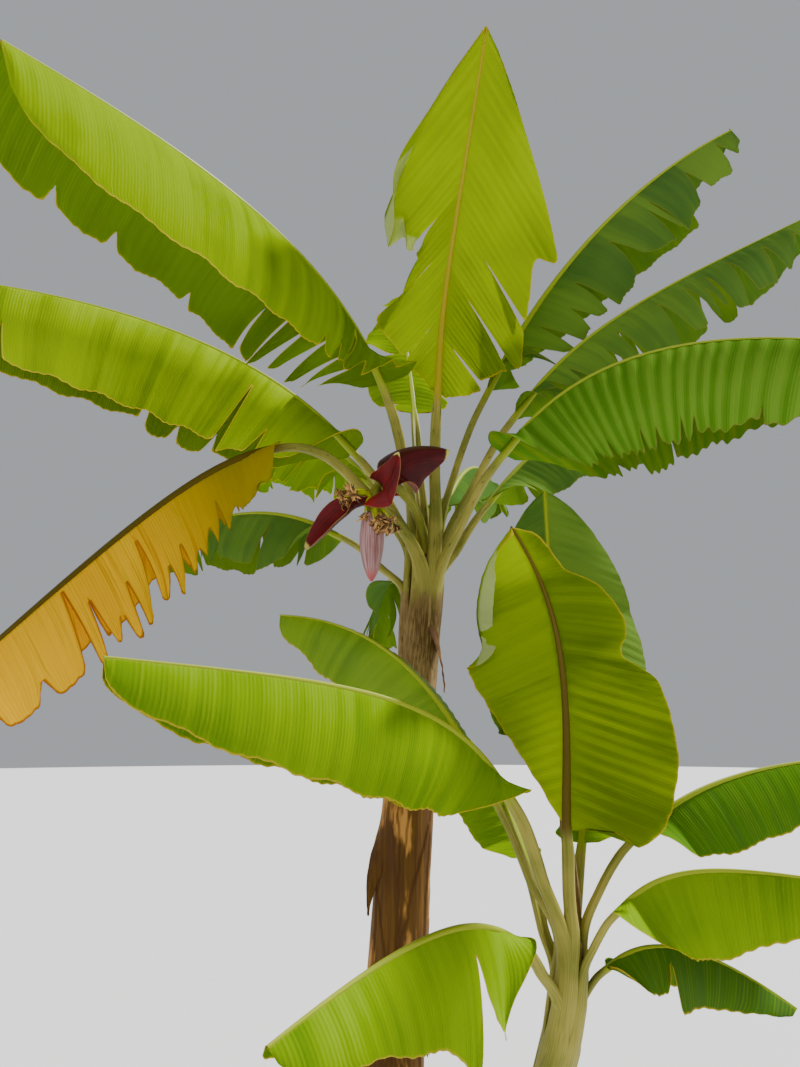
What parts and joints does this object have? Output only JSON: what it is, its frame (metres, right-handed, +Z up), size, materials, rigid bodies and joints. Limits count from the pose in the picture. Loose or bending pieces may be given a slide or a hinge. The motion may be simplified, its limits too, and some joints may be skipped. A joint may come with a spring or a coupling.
{
  "type": "banana plant",
  "caption": "Flowering banana plant with a leaning stem, a crown of long arching leaves, a hanging flower bud and a tall sucker beside its foot.",
  "frame": {"origin": "middle of the flat cut at ground level under the mother stem", "axes": "+Z up; -Y towards the viewer of the picture; +X to the viewer's right"},
  "size_m": [3.5545, 3.1624, 4.4139],
  "materials": {
    "leaf": "smooth, slightly waxy green leaf",
    "old_leaf": "old leaf, yellow to orange-brown",
    "stem": "overlapping olive leaf sheaths with dry brown layers",
    "stalk": "smooth green stalk",
    "bract": "dark maroon outside, red inside",
    "bud": "dull pink-grey closed bud",
    "flower": "yellow-green young fingers",
    "dry_sheath": "papery dry brown"
  },
  "bodies": {
    "root": {"bract_left": "bract", "bract_right": "bract", "bract_upper": "bract", "dry_sheath_crown": "dry_sheath", "dry_sheath_low": "dry_sheath", "dry_sheath_middle": "dry_sheath", "flower_bud": "bud", "flower_hand_left": "flower", "flower_hand_right": "flower", "flower_stalk": "stalk", "leaf_back_inner": "leaf", "leaf_back_left_inner": "leaf", "leaf_back_left_outer": "leaf", "leaf_back_low_inner": "leaf", "leaf_back_low_outer": "leaf", "leaf_back_outer": "leaf", "leaf_back_right_inner": "leaf", "leaf_back_right_outer": "leaf", "leaf_back_upright": "leaf", "leaf_far_left_inner": "leaf", "leaf_far_left_outer": "leaf", "leaf_left_inner": "leaf", "leaf_left_outer": "leaf", "leaf_lower_right_inner": "leaf", "leaf_lower_right_outer": "leaf", "leaf_right_inner": "leaf", "leaf_right_outer": "leaf", "leaf_upper_left_inner": "leaf", "leaf_upper_left_outer": "leaf", "leaf_upper_right": "leaf", "leaf_upright": "leaf", "leaf_yellow_inner": "old_leaf", "leaf_yellow_outer": "old_leaf", "pseudostem": "stem", "sucker_leaf_back": "leaf", "sucker_leaf_back_right": "leaf", "sucker_leaf_inner_left": "leaf", "sucker_leaf_left_inner": "leaf", "sucker_leaf_left_outer": "leaf", "sucker_leaf_low_left_inner": "leaf", "sucker_leaf_low_left_outer": "leaf", "sucker_leaf_low_right_inner": "leaf", "sucker_leaf_low_right_outer": "leaf", "sucker_leaf_right_inner": "leaf", "sucker_leaf_right_outer": "leaf", "sucker_leaf_small": "leaf", "sucker_leaf_tall": "leaf", "sucker_leaf_upright": "leaf", "sucker_stem": "stem"}
  },
  "joints": []
}
